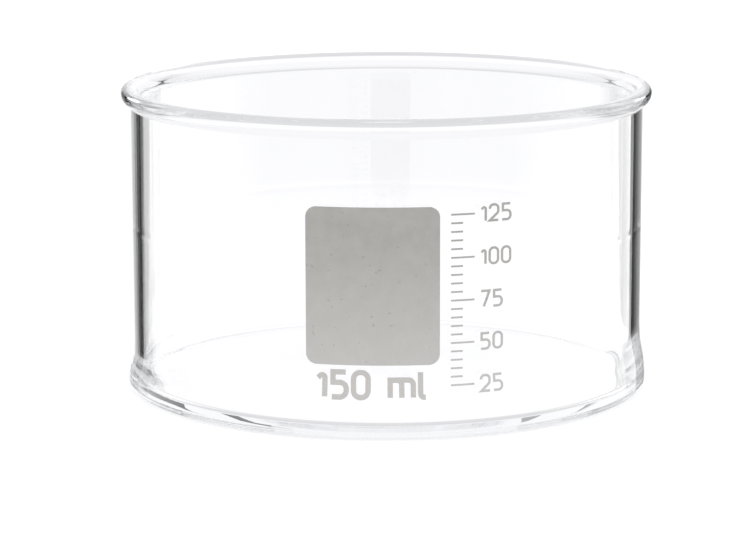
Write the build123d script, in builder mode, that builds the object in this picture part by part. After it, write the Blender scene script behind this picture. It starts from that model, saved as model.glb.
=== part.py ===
from build123d import *
from math import atan, cos, pi, sin, sqrt, tan
import os

# Flat-bottomed glass evaporating dish with a flared rim and fired-on enamel markings.
# The origin is the centre of the foot ring's resting plane, +Z points up out of the mouth,
# and the printed side faces -Y.

# Glass body: the wall is straight outside and thickens a little towards the rim
height = 45.0
rim_radius = 39.37
wall_radius = 38.1
wall_thickness_at_floor = 1.5
wall_thickness_at_rim = 2.0
inner_radius = wall_radius - wall_thickness_at_floor

# Heel and foot: the wall swells out to a tight heel, which turns under to a flat ring
heel_radius = 38.9
heel_roundness = 1.2
heel_blend_level = 9.8
foot_outer_radius = heel_radius - heel_roundness
foot_inner_radius = 34.0
punt_rise = 0.5

# Floor
floor_level = 1.5
floor_crown = 0.4
floor_corner_radius = 1.0
# The part of the cylinder around it that a crown of two equal arcs fills
crown_share = 7 / 24
taper = atan((wall_thickness_at_rim - wall_thickness_at_floor) / (height - floor_level))

# Rim: a lip that flares outwards and is melted round at its edge. Its inner curve meets the
# tapered inside of the wall smoothly at the throat.
lip_edge_radius = 1.0
lip_underside_radius = 1.7
lip_crease_radius = 0.4
lip_centre_radius = rim_radius - lip_edge_radius
lip_width = lip_centre_radius - (wall_radius - wall_thickness_at_rim)
lip_inner_radius = lip_width * cos(taper) / (1 + sin(taper))
throat_radius = lip_centre_radius - lip_inner_radius * cos(taper)
throat_level = height - lip_inner_radius * (1 + sin(taper))

# Enamel markings: a skin on the outside of the wall, cut to shape by outward cutters
enamel_thickness = 0.06
print_zone_bottom = 5.5
print_zone_top = 37.5
cutter_start = 34.0
cutter_length = 8.0

# Places of the markings. An arc is a distance round the wall, to the right of its front.
# Marking patch, a field to write on
patch_width = 18.6
patch_height = 22.2
patch_corner_radius = 1.5
patch_arc = -1.95
patch_level = 21.7

# Capacity mark
capacity_text = "150 ml"
capacity_arc = -9.6
capacity_level = 6.1
capacity_size = 3.5
capacity_stroke = 0.75
capacity_gap = 1.0

# Graduated scale, in millilitres
scale_bottom = 25
scale_top = 125
scale_step = 5
scale_labelled_step = 25
scale_arc = 9.0
short_tick = 1.7
long_tick = 3.4
tick_thickness = 0.26
numeral_arc = scale_arc + long_tick + 1.0
numeral_size = 2.2
numeral_stroke = 0.34
numeral_gap = 0.62

# Stroke letters one unit high. Each has its width and its pen strokes, and a stroke is its
# points with the radius that rounds each corner between them.
letters = {
    "0": (0.58, [([(0, 0), (0, 1), (0.58, 1), (0.58, 0), (0, 0)], [0.27] * 4)]),
    "1": (0.28, [([(0, 0.74), (0.28, 1), (0.28, 0)], [0.11])]),
    "2": (0.58, [([(0, 0.74), (0, 1), (0.58, 1), (0.58, 0.5), (0, 0), (0.58, 0)],
                  [0.24, 0.25, 0.2, 0])]),
    "5": (0.58, [([(0.55, 1), (0.04, 1), (0.04, 0.58), (0.58, 0.58), (0.58, 0), (0, 0)],
                  [0, 0, 0.26, 0.26])]),
    "7": (0.56, [([(0, 1), (0.56, 1), (0.18, 0)], [0])]),
    "m": (0.92, [([(0, 0), (0, 0.7), (0.46, 0.7), (0.46, 0)], [0, 0.2]),
                 ([(0.3, 0.7), (0.92, 0.7), (0.92, 0)], [0.2])]),
    "l": (0.2, [([(0, 1), (0, 0), (0.2, 0)], [0.15])]),
    " ": (0.3, []),
}


def s_curve(start, end, direction):
    """Two equal arcs that leave the start and reach the end in the same direction."""
    middle = ((start[0] + end[0]) / 2, (start[1] + end[1]) / 2)
    first = TangentArc(start, middle, tangent=direction)
    TangentArc(middle, end, tangent=first % 1)


def wall_plane(arc, level):
    """The plane just inside the wall that faces outwards at an arc and a level."""
    facing = Plane.XZ.rotated((0, 0, arc / wall_radius * 180 / pi)).offset(cutter_start)
    return Plane(facing.origin + (0, 0, level), x_dir=facing.x_dir, z_dir=facing.z_dir)


def fill_level(millilitres):
    """The level of the liquid's surface for a volume poured into the dish."""
    corner_area = (1 - pi / 4) * floor_corner_radius**2
    corner_distance = (10 - 3 * pi) / (12 - 3 * pi) * floor_corner_radius
    corner_volume = 2 * pi * (inner_radius - corner_distance) * corner_area
    crown_volume = crown_share * pi * inner_radius**2 * floor_crown
    volume = millilitres * 1000 + corner_volume + crown_volume
    slope = tan(taper)
    surface_radius = (inner_radius**3 - 3 * slope * volume / pi) ** (1 / 3)
    return floor_level + (inner_radius - surface_radius) / slope


def letter_face(letter, arc, level, size, stroke):
    """A stroke letter whose left edge is at an arc and whose foot is at a level."""
    width, pen_strokes = letters[letter]
    with BuildSketch(wall_plane(arc + width * size / 2, level)) as face:
        for points, radii in pen_strokes:
            with BuildLine():
                corners = [((x - width / 2) * size, y * size) for x, y in points]
                FilletPolyline(*corners, radius=[radius * size for radius in radii])
            trace(line_width=stroke)
    return face.sketch


def text_faces(text, arc, level, size, stroke, gap):
    """A line of stroke letters, read from left to right round the wall."""
    faces = []
    for letter in text:
        width, pen_strokes = letters[letter]
        if pen_strokes:
            faces.append(letter_face(letter, arc, level, size, stroke))
        arc += width * size + gap
    return faces


def tick_face(level, length):
    """A graduation line that starts at the scale's left edge."""
    with BuildSketch(wall_plane(scale_arc + length / 2, level)) as face:
        Rectangle(length, tick_thickness)
    return face.sketch


def finish(part, name):
    """Labels a finished piece and writes it."""
    part.label = name
    export_step(part, f"parts/{name}.step")


os.makedirs("parts", exist_ok=True)

# Half section of the glass: underside, heel, wall, rim, inside wall and floor
with BuildSketch(Plane.XZ) as glass_section:
    with BuildLine():
        s_curve((0, punt_rise), (foot_inner_radius, 0), (1, 0))
        Line((foot_inner_radius, 0), (foot_outer_radius, 0))
        TangentArc((foot_outer_radius, 0), (heel_radius, heel_roundness), tangent=(1, 0))
        s_curve((heel_radius, heel_roundness), (wall_radius, heel_blend_level), (0, 1))
        flare = rim_radius - wall_radius
        crease_drop = sqrt(flare * (2 * lip_underside_radius - flare))
        lip_widest = (rim_radius, height - lip_edge_radius)
        lip_top = (lip_centre_radius, height)
        throat = (throat_radius, throat_level)
        crease = (wall_radius, lip_widest[1] - crease_drop)
        Line((wall_radius, heel_blend_level), crease)
        TangentArc(lip_widest, crease, tangent=(0, -1))
        TangentArc(lip_widest, lip_top, tangent=(0, 1))
        TangentArc(lip_top, throat, tangent=(-1, 0))
        floor_corner = (inner_radius, floor_level)
        floor_centre = (0, floor_level + floor_crown)
        Line(throat, floor_corner)
        s_curve(floor_corner, floor_centre, (-1, 0))
        Line(floor_centre, (0, punt_rise))
    make_face()
    for corner, roundness in ((crease, lip_crease_radius), (floor_corner, floor_corner_radius)):
        fillet(glass_section.vertices().sort_by_distance((*corner, 0))[0], roundness)

with BuildPart() as glass_dish:
    add(glass_section.sketch)
    revolve(axis=Axis.Z)
finish(glass_dish.part, "glass_dish")

# The skin that all markings are cut from, face to face with the glass
with BuildSketch(Plane.XZ) as enamel_section:
    add(glass_section.sketch_local)
    offset(amount=enamel_thickness)
    with Locations((wall_radius, (print_zone_bottom + print_zone_top) / 2)):
        Rectangle(wall_thickness_at_floor, print_zone_top - print_zone_bottom, mode=Mode.INTERSECT)
    add(glass_section.sketch_local, mode=Mode.SUBTRACT)

with BuildPart() as enamel_skin:
    add(enamel_section.sketch)
    revolve(axis=Axis.Z)

with BuildPart() as marking_patch:
    with BuildSketch(wall_plane(patch_arc, patch_level)):
        RectangleRounded(patch_width, patch_height, patch_corner_radius)
    extrude(amount=cutter_length)
    add(enamel_skin.part, mode=Mode.INTERSECT)
finish(marking_patch.part, "marking_patch")

with BuildPart() as capacity_mark:
    for face in text_faces(
        capacity_text, capacity_arc, capacity_level, capacity_size, capacity_stroke, capacity_gap
    ):
        extrude(face, amount=cutter_length)
    add(enamel_skin.part, mode=Mode.INTERSECT)
finish(capacity_mark.part, "capacity_mark")

with BuildPart() as scale_ticks:
    for millilitres in range(scale_bottom, scale_top + scale_step, scale_step):
        length = short_tick if millilitres % scale_labelled_step else long_tick
        extrude(tick_face(fill_level(millilitres), length), amount=cutter_length)
    add(enamel_skin.part, mode=Mode.INTERSECT)
finish(scale_ticks.part, "scale_ticks")

with BuildPart() as scale_numerals:
    for millilitres in range(scale_bottom, scale_top + scale_labelled_step, scale_labelled_step):
        foot = fill_level(millilitres) - numeral_size / 2
        for face in text_faces(
            str(millilitres), numeral_arc, foot, numeral_size, numeral_stroke, numeral_gap
        ):
            extrude(face, amount=cutter_length)
    add(enamel_skin.part, mode=Mode.INTERSECT)
finish(scale_numerals.part, "scale_numerals")
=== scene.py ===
"""Glass evaporating dish with a flared, melted rim and fired-on grey enamel markings."""
from math import acos, atan, ceil, cos, exp, pi, radians, sin, sqrt, tan, tau

import bpy
from mathutils import Matrix, Vector


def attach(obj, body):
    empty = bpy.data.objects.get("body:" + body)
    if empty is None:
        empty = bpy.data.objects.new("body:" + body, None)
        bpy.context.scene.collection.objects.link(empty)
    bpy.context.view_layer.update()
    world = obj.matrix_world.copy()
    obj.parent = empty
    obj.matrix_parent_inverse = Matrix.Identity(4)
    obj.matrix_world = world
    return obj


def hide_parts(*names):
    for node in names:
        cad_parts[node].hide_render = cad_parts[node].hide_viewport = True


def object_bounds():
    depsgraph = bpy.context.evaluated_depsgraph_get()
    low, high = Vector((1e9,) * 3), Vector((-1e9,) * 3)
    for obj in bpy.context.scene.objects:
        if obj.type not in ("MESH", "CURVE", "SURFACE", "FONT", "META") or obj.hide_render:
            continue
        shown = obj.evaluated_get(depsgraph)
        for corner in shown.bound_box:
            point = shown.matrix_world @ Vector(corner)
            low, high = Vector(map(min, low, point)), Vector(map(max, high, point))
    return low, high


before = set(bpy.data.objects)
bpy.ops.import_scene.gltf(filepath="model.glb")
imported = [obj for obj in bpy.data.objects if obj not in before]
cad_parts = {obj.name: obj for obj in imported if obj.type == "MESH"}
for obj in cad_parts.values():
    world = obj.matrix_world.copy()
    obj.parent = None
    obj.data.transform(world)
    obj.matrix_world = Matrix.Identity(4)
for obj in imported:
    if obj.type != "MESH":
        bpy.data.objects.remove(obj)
cad_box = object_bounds()

MM = 0.001

# Glass body: its rim and height come from the frame's box, and its wall lies just behind the
# enamel, so that the two surfaces don't share a place
rim_radius = cad_box[1].x
height = cad_box[1].z
enamel_inner_radius = 38.1 * MM
enamel_gap = 0.01 * MM
wall_radius = enamel_inner_radius - enamel_gap
inner_radius = 36.6 * MM
inner_rim_radius = 36.1 * MM
lip_edge_radius = 1.0 * MM
lip_underside_radius = 1.7 * MM
lip_crease_radius = 0.4 * MM
heel_radius = 38.9 * MM
heel_roundness = 1.2 * MM
heel_blend_level = 9.8 * MM
foot_inner_radius = 34 * MM
punt_rise = 0.5 * MM
floor_level = 1.5 * MM
floor_crown = 0.4 * MM
floor_corner_radius = 1.0 * MM

# Marks of the making. The heel's blend into the wall is lower on each side, by a share of its
# height, and the focus says how closely a drop keeps to its side. A fine ridge of slightly
# uneven height goes round inside.
heel_drop_left = 0.52
heel_drop_right = 0.06
heel_drop_focus = 3
ridge_level = 24.3 * MM
ridge_height = 0.018 * MM
ridge_width = 0.4 * MM
ridge_unevenness = 0.2
ridge_swells = 3

# Glass: its refraction, its absorption, and noise scales per metre with their stretch
glass_ior = 1.473
glass_absorbed_colour = (0.85, 0.94, 1)
glass_absorption = 1.2
glass_wave_scale = 70
glass_wave_stretch = (1, 1, 0.3)
glass_wave_depth = 0.01 * MM
glass_mark_scale = 160
glass_mark_stretch = (1, 1, 0.35)
glass_mark_limits = (0.58, 0.78)
glass_mark_roughness = 0.02

# Enamel: its colours, with painted bounce light from the table that makes it lighter from one level
# down to another, and its noise
enamel_dark = (0.338, 0.331, 0.314)
enamel_light = (0.372, 0.364, 0.346)
enamel_speck = (0.22, 0.215, 0.2)
# Painted bounce light: a lighter enamel colour at the foot, standing in for light from the table
# below, with the levels and the share of its blend
enamel_painted_bounce = (0.53, 0.52, 0.505)
painted_bounce_levels = (28 * MM, 8 * MM)
painted_bounce_strength = 0.85
enamel_cloud_scale = 450
enamel_cloud_limits = (0.3, 0.7)
enamel_roughness = (0.62, 0.48)
enamel_speck_scale = 1400
enamel_speck_limits = (0.7, 0.76)
enamel_speck_strength = 0.4
enamel_grain_scale = 6000
enamel_grain_depth = 0.02 * MM

# Fineness of the glass mesh
segments = 432
arc_step = radians(5)
punt_rings = 20
heel_rings = 24
crown_rings = 22
wall_spacing = 2.0 * MM
foot_spacing = 0.6 * MM
ridge_reach = 3 * ridge_width
ridge_spacing = 0.5 * ridge_width

# Camera
camera_distance = 0.449
camera_height = 0.104
camera_aim = Vector((-2.17 * MM, 0, 16.0 * MM))
camera_lens = 147.2
camera_roll = radians(-0.139)
camera_clip = (0.01, 20)

# Floor, just below the foot
floor_radius = 2.5
floor_sides = 64
floor_drop = 0.02 * MM

# Studio: the light on matt surfaces, and the tones that the glass shows of the surround, each
# with its height in degrees. Their blue is raised a little.
daylight = 1.2
coolness = 1.02
world_tones = [
    (-60, 0.72),
    (-30, 0.72),
    (-24, 1.03),
    (-9.8, 1.03),
    (-8.4, 0.965),
    (28, 0.96),
    (36, 0.91),
]

# Boards round the dish, in bands of height and by the angle off the line of sight to the right,
# in degrees, with their tones at both edges. They turn with the camera, and only the glass
# shows them.
board_distance = 3.0
board_step = 3
board_rows = 4
low_band = (-30, -14.5)
middle_band = (-14.5, 5)
high_band = (5, 30)
boards = {
    "left_half_dark": (middle_band, -18, -27, 0.42, 0.38),
    "left_dark": (middle_band, -27, -38, 0.03, 0.03),
    "left_grey": (middle_band, -38, -50, 0.5, 0.8),
    "left_lamp": (middle_band, -50, -75, 1.45, 1.4),
    "left_fade": (middle_band, -75, -120, 1.4, 1.0),
    "right_grey": (middle_band, 12, 15, 0.8, 0.7),
    "right_half_dark": (middle_band, 15, 27, 0.22, 0.16),
    "right_dark": (middle_band, 27, 36, 0.03, 0.03),
    "right_light": (middle_band, 36, 50, 1.25, 1.4),
    "right_lamp": (middle_band, 50, 75, 2.2, 1.9),
    "right_fade": (middle_band, 75, 120, 1.9, 1.0),
    "left_high_dark": (high_band, -36, -60, 0.36, 0.42),
    "left_high_fade": (high_band, -60, -100, 0.55, 0.96),
    "right_high_dark": (high_band, 36, 60, 0.12, 0.15),
    "right_high_fade": (high_band, 60, 100, 0.4, 0.96),
    "left_low_grey": (low_band, -24, -75, 0.78, 0.96),
    "right_low_grey": (low_band, 24, 100, 0.52, 0.96),
}

# Times that light may pass or leave a surface, enough for it to get out of the glass
bounces = 64


def spaced(start, end, steps):
    """Evenly spaced values after the start, up to the end."""
    return [start + (end - start) * (i + 1) / steps for i in range(steps)]


def arc(centre, radius, start, end):
    """Points of an arc in the section after its first, by its start and end angles."""
    angles = spaced(start, end, ceil(abs(end - start) / arc_step))
    return [(centre[0] + radius * cos(angle), centre[1] + radius * sin(angle)) for angle in angles]


def line(start, end, spacing):
    """Points of a straight run in the section after its first."""
    steps = ceil(sqrt((end[0] - start[0]) ** 2 + (end[1] - start[1]) ** 2) / spacing)
    return list(zip(spaced(start[0], end[0], steps), spaced(start[1], end[1], steps)))


def at_level(start, end, level):
    """The point of a straight run in the section that is at a level."""
    share = (level - start[1]) / (end[1] - start[1])
    return start[0] + (end[0] - start[0]) * share, level


def ease(t):
    """A smooth step from 0 to 1 with level ends, made of two parabolas."""
    return 2 * t * t if t < 0.5 else 1 - 2 * (1 - t) ** 2


def outside_section():
    """The section's (radius, level) points from the middle of the underside out round the heel
    and up the wall to the lip's crease."""
    foot_outer_radius = heel_radius - heel_roundness
    points = [(0, punt_rise)]
    points += [(foot_inner_radius * t, punt_rise * (1 - ease(t))) for t in spaced(0, 1, punt_rings)]
    points += line((foot_inner_radius, 0), (foot_outer_radius, 0), foot_spacing)
    points += arc((foot_outer_radius, heel_roundness), heel_roundness, -pi / 2, 0)
    for t in spaced(0, 1, heel_rings):
        level = heel_roundness + (heel_blend_level - heel_roundness) * t
        points.append((heel_radius + (wall_radius - heel_radius) * ease(t), level))

    lip_centre = (rim_radius - lip_edge_radius, height - lip_edge_radius)
    underside_centre = (rim_radius - lip_underside_radius, lip_centre[1])
    crease_reach = lip_underside_radius + lip_crease_radius
    crease_angle = acos((wall_radius + lip_crease_radius - underside_centre[0]) / crease_reach)
    crease_level = lip_centre[1] - crease_reach * sin(crease_angle)
    crease_centre = (wall_radius + lip_crease_radius, crease_level)
    points += line(points[-1], (wall_radius, crease_level), wall_spacing)
    points += arc(crease_centre, lip_crease_radius, pi, pi - crease_angle)
    points += arc(underside_centre, lip_underside_radius, -crease_angle, 0)
    return points + arc(lip_centre, lip_edge_radius, 0, pi / 2)


def inside_section():
    """The section's (radius, level) points after the top of the lip, down through the throat and
    the inside of the wall to the middle of the floor. The rings are close at the ridge."""
    lip_centre_radius = rim_radius - lip_edge_radius
    taper = atan((inner_radius - inner_rim_radius) / (height - floor_level))
    throat_radius = (lip_centre_radius - inner_rim_radius) * cos(taper) / (1 + sin(taper))
    throat_centre = (lip_centre_radius, height - throat_radius)
    corner_centre_radius = inner_radius - floor_corner_radius * (tan(taper) + 1 / cos(taper))
    corner_centre = (corner_centre_radius, floor_level + floor_corner_radius)

    points = arc(throat_centre, throat_radius, pi / 2, pi + taper)
    corner_top = arc(corner_centre, floor_corner_radius, 0, taper)[-1]
    above_ridge = at_level(points[-1], corner_top, ridge_level + ridge_reach)
    below_ridge = at_level(points[-1], corner_top, ridge_level - ridge_reach)
    points += line(points[-1], above_ridge, wall_spacing)
    points += line(above_ridge, below_ridge, ridge_spacing)
    points += line(below_ridge, corner_top, wall_spacing)
    points += arc(corner_centre, floor_corner_radius, taper, -pi / 2)
    for t in spaced(0, 1, crown_rings):
        points.append((corner_centre_radius * (1 - t), floor_level + floor_crown * ease(t)))
    return points


def worked(radius, level, angle, inside):
    """A point of the section, moved a little as hand-finished glass is."""
    if inside:
        ridge = exp(-(((level - ridge_level) / ridge_width) ** 2))
        evenness = 1 - ridge_unevenness + ridge_unevenness * cos(ridge_swells * angle)
        radius -= ridge_height * ridge * evenness
    elif heel_roundness < level <= heel_blend_level:
        left_drop = heel_drop_left * max(0, -cos(angle)) ** heel_drop_focus
        right_drop = heel_drop_right * max(0, cos(angle)) ** heel_drop_focus
        level -= (level - heel_roundness) * (left_drop + right_drop)
    return radius, level


def lathe(name, outside, inside):
    """A closed mesh turned round the Z axis from a section that starts and ends on it."""
    section = outside + inside
    vertices = [(0, 0, section[0][1])]
    for i, (radius, level) in enumerate(section[1:-1], 1):
        for s in range(segments):
            angle = tau * s / segments
            r, z = worked(radius, level, angle, i >= len(outside))
            vertices.append((r * cos(angle), r * sin(angle), z))
    vertices.append((0, 0, section[-1][1]))
    last = len(vertices) - 1
    rings = len(section) - 2
    faces = []
    for s in range(segments):
        t = (s + 1) % segments
        faces.append((0, 1 + t, 1 + s))
        for ring in range(rings - 1):
            low = 1 + ring * segments
            high = low + segments
            faces.append((low + s, low + t, high + t, high + s))
        faces.append((last - segments + s, last - segments + t, last))
    mesh = bpy.data.meshes.new(name)
    mesh.from_pydata(vertices, [], faces)
    mesh.validate()
    mesh.shade_smooth()
    piece = bpy.data.objects.new(name, mesh)
    bpy.context.scene.collection.objects.link(piece)
    return piece


def new_material(name):
    """A material with an empty node tree, and its output node."""
    material = bpy.data.materials.new(name)
    material.use_nodes = True
    material.node_tree.nodes.clear()
    return material, material.node_tree.nodes.new("ShaderNodeOutputMaterial")


def noise(nodes, links, place, scale, detail, stretch=(1, 1, 1)):
    """Noise at a scale per metre, stretched along the axes, and its value."""
    mapping = nodes.new("ShaderNodeMapping")
    mapping.inputs["Scale"].default_value = stretch
    texture = nodes.new("ShaderNodeTexNoise")
    texture.inputs["Scale"].default_value = scale
    texture.inputs["Detail"].default_value = detail
    links.new(place, mapping.inputs["Vector"])
    links.new(mapping.outputs["Vector"], texture.inputs["Vector"])
    return texture.outputs["Fac"]


def ranged(nodes, links, value, start, end):
    """A value carried from one range, its start, to another, its end, and held inside it."""
    node = nodes.new("ShaderNodeMapRange")
    limits = zip(("From Min", "From Max", "To Min", "To Max"), (*start, *end))
    for name, limit in limits:
        node.inputs[name].default_value = limit
    links.new(value, node.inputs["Value"])
    return node.outputs["Result"]


def tinted(nodes, links, share, base, tint):
    """A colour that goes from a base, a colour or a socket, to a tint by a share."""
    mix = nodes.new("ShaderNodeMix")
    mix.data_type = "RGBA"
    mix.inputs["B"].default_value = (*tint, 1)
    links.new(share, mix.inputs["Factor"])
    if isinstance(base, tuple):
        mix.inputs["A"].default_value = (*base, 1)
    else:
        links.new(base, mix.inputs["A"])
    return mix.outputs["Result"]


def bumped(nodes, links, relief, depth, shader):
    """Gives a shader's normal the relief of a value, as deep as the depth in metres."""
    bump = nodes.new("ShaderNodeBump")
    bump.inputs["Strength"].default_value = 1
    bump.inputs["Distance"].default_value = depth
    links.new(relief, bump.inputs["Height"])
    links.new(bump.outputs["Normal"], shader.inputs["Normal"])


def glass_material():
    """Clear borosilicate glass with faint waves from its drawing and faint wiping marks."""
    material, output = new_material("clear_glass")
    nodes = material.node_tree.nodes
    links = material.node_tree.links
    shader = nodes.new("ShaderNodeBsdfPrincipled")
    shader.inputs["Base Color"].default_value = (1, 1, 1, 1)
    shader.inputs["Transmission Weight"].default_value = 1
    shader.inputs["IOR"].default_value = glass_ior
    place = nodes.new("ShaderNodeTexCoord").outputs["Object"]
    marks = noise(nodes, links, place, glass_mark_scale, detail=3, stretch=glass_mark_stretch)
    roughness = ranged(nodes, links, marks, glass_mark_limits, (0, glass_mark_roughness))
    links.new(roughness, shader.inputs["Roughness"])
    waves = noise(nodes, links, place, glass_wave_scale, detail=1, stretch=glass_wave_stretch)
    bumped(nodes, links, waves, glass_wave_depth, shader)
    volume = nodes.new("ShaderNodeVolumeAbsorption")
    volume.inputs["Color"].default_value = (*glass_absorbed_colour, 1)
    volume.inputs["Density"].default_value = glass_absorption
    links.new(shader.outputs["BSDF"], output.inputs["Surface"])
    links.new(volume.outputs["Volume"], output.inputs["Volume"])
    return material


def enamel_material():
    """Matt warm grey enamel, fired on from a screen print: mottled, finely specked and grained,
    and with painted bounce light from the table that makes it lighter towards the foot."""
    material, output = new_material("grey_enamel")
    nodes = material.node_tree.nodes
    links = material.node_tree.links
    shader = nodes.new("ShaderNodeBsdfPrincipled")
    place = nodes.new("ShaderNodeTexCoord").outputs["Object"]
    clouds = noise(nodes, links, place, enamel_cloud_scale, detail=4)
    grain = noise(nodes, links, place, enamel_grain_scale, detail=3)
    specks = noise(nodes, links, place, enamel_speck_scale, detail=1)
    axes = nodes.new("ShaderNodeSeparateXYZ")
    links.new(place, axes.inputs["Vector"])

    cloudiness = ranged(nodes, links, clouds, enamel_cloud_limits, (0, 1))
    # Painted bounce light: the enamel's colour is blended lighter towards the foot, as if lit from the
    # table below
    painted_bounce_share = ranged(nodes, links, axes.outputs["Z"], painted_bounce_levels, (0, painted_bounce_strength))
    spotting = ranged(nodes, links, specks, enamel_speck_limits, (0, enamel_speck_strength))
    mottled = tinted(nodes, links, cloudiness, enamel_dark, enamel_light)
    bounce_painted_colour = tinted(nodes, links, painted_bounce_share, mottled, enamel_painted_bounce)
    specked = tinted(nodes, links, spotting, bounce_painted_colour, enamel_speck)
    links.new(specked, shader.inputs["Base Color"])
    roughness = ranged(nodes, links, clouds, enamel_cloud_limits, enamel_roughness)
    links.new(roughness, shader.inputs["Roughness"])
    bumped(nodes, links, grain, enamel_grain_depth, shader)
    links.new(shader.outputs["BSDF"], output.inputs["Surface"])
    return material


def board_material():
    """Boards that glow with the tone that each point carries."""
    material, output = new_material("board")
    tone = material.node_tree.nodes.new("ShaderNodeAttribute")
    tone.attribute_name = "tone"
    shader = material.node_tree.nodes.new("ShaderNodeEmission")
    material.node_tree.links.new(tone.outputs["Color"], shader.inputs["Color"])
    material.node_tree.links.new(shader.outputs["Emission"], output.inputs["Surface"])
    material.cycles.emission_sampling = "NONE"
    return material


def floor_material():
    """A matt white table."""
    material, output = new_material("white_floor")
    shader = material.node_tree.nodes.new("ShaderNodeBsdfDiffuse")
    shader.inputs["Color"].default_value = (1, 1, 1, 1)
    material.node_tree.links.new(shader.outputs["BSDF"], output.inputs["Surface"])
    return material


def add_mesh(name, corners, faces, material):
    """A sheet of the studio, from its corners and faces."""
    mesh = bpy.data.meshes.new(name)
    mesh.from_pydata(corners, [], faces)
    mesh.materials.append(material)
    sheet = bpy.data.objects.new(name, mesh)
    bpy.context.scene.collection.objects.link(sheet)
    return sheet


def add_camera():
    """The camera, which looks slightly down at the dish's front."""
    data = bpy.data.cameras.new("camera")
    data.lens = camera_lens
    data.clip_start, data.clip_end = camera_clip
    camera = bpy.data.objects.new("camera", data)
    bpy.context.scene.collection.objects.link(camera)
    place = Vector((0, -camera_distance, camera_height))
    turn = (camera_aim - place).to_track_quat("-Z", "Y").to_matrix().to_4x4()
    camera.matrix_world = Matrix.Translation(place) @ turn @ Matrix.Rotation(camera_roll, 4, "Z")
    bpy.context.scene.camera = camera
    return camera


def add_floor():
    """The table that the dish stands on. The glass looks through it to the surround."""
    angles = [tau * i / floor_sides for i in range(floor_sides)]
    corners = [(floor_radius * cos(angle), floor_radius * sin(angle), -floor_drop) for angle in angles]
    floor = add_mesh("floor", corners, [tuple(range(floor_sides))], floor_material())
    floor.visible_transmission = False
    floor.visible_glossy = False


def on_sphere(side, lift):
    """The point at the boards' distance by its angle to the right and its height, in degrees."""
    level = board_distance * sin(radians(lift))
    reach = board_distance * cos(radians(lift))
    return reach * sin(radians(side)), reach * cos(radians(side)), level


def add_board(camera, name, material, band, sides, tones):
    """A curved board behind the dish, between two angles off the line of sight."""
    steps = ceil(abs(sides[1] - sides[0]) / board_step)
    column = board_rows + 1
    corners = []
    for side in [sides[0]] + spaced(*sides, steps):
        corners += [on_sphere(side, lift) for lift in [band[0]] + spaced(*band, board_rows)]
    faces = []
    for i in range(column * steps):
        if i % column < board_rows:
            faces.append((i, i + 1, i + 1 + column, i + column))
    board = add_mesh(name, corners, faces, material)
    glow = board.data.color_attributes.new("tone", "FLOAT_COLOR", "POINT")
    for i in range(len(corners)):
        tone = tones[0] + (tones[1] - tones[0]) * (i // column) / steps
        glow.data[i].color = (tone, tone, tone, 1)
    board.parent = camera
    board.matrix_parent_inverse = camera.matrix_world.inverted()
    board.visible_camera = False
    board.visible_diffuse = False
    board.visible_shadow = False


def surround_tones(nodes, links):
    """The colour of the surround by the height of the direction that the glass looks in."""
    direction = nodes.new("ShaderNodeTexCoord")
    axes = nodes.new("ShaderNodeSeparateXYZ")
    links.new(direction.outputs["Generated"], axes.inputs["Vector"])
    raised = ranged(nodes, links, axes.outputs["Z"], (-1, 1), (0, 1))
    tones = nodes.new("ShaderNodeValToRGB")
    links.new(raised, tones.inputs["Fac"])
    ramp = tones.color_ramp
    ramp.elements.remove(ramp.elements[1])
    for lift, tone in world_tones:
        ramp.elements.new((1 + sin(radians(lift))) / 2).color = (tone, tone, tone * coolness, 1)
    ramp.elements.remove(ramp.elements[0])
    return tones.outputs["Color"]


def light_surround():
    """An even white light for matt surfaces and the eye, and softer tones for the glass."""
    world = bpy.data.worlds.new("surround")
    world.use_nodes = True
    bpy.context.scene.world = world
    nodes = world.node_tree.nodes
    links = world.node_tree.links
    nodes.clear()
    seen = nodes.new("ShaderNodeBackground")
    links.new(surround_tones(nodes, links), seen.inputs["Color"])
    light = nodes.new("ShaderNodeBackground")
    light.inputs["Color"].default_value = (1, 1, 1, 1)
    light.inputs["Strength"].default_value = daylight

    path = nodes.new("ShaderNodeLightPath")
    lit = nodes.new("ShaderNodeMath")
    lit.operation = "MAXIMUM"
    links.new(path.outputs["Is Diffuse Ray"], lit.inputs[0])
    links.new(path.outputs["Is Camera Ray"], lit.inputs[1])
    mix = nodes.new("ShaderNodeMixShader")
    links.new(lit.outputs["Value"], mix.inputs["Fac"])
    links.new(seen.outputs["Background"], mix.inputs[1])
    links.new(light.outputs["Background"], mix.inputs[2])
    output = nodes.new("ShaderNodeOutputWorld")
    links.new(mix.outputs["Shader"], output.inputs["Surface"])


def set_quality():
    """Enough bounces for light to leave the glass, and colours shown as they are."""
    scene = bpy.context.scene
    scene.view_settings.view_transform = "Standard"
    scene.cycles.max_bounces = bounces
    scene.cycles.transmission_bounces = bounces
    scene.cycles.glossy_bounces = bounces
    scene.cycles.use_denoising = True
    scene.cycles.blur_glossy = 0


glass = lathe("glass_body", outside_section(), inside_section())
glass.data.materials.append(glass_material())
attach(glass, "root")
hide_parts("glass_dish")

enamel = enamel_material()
for node in ("marking_patch", "capacity_mark", "scale_ticks", "scale_numerals"):
    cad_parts[node].data.materials.clear()
    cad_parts[node].data.materials.append(enamel)

camera = add_camera()
add_floor()
light_surround()
board_tone = board_material()
for name, (band, start, end, tone_at_start, tone_at_end) in boards.items():
    add_board(camera, name, board_tone, band, (start, end), (tone_at_start, tone_at_end))
set_quality()
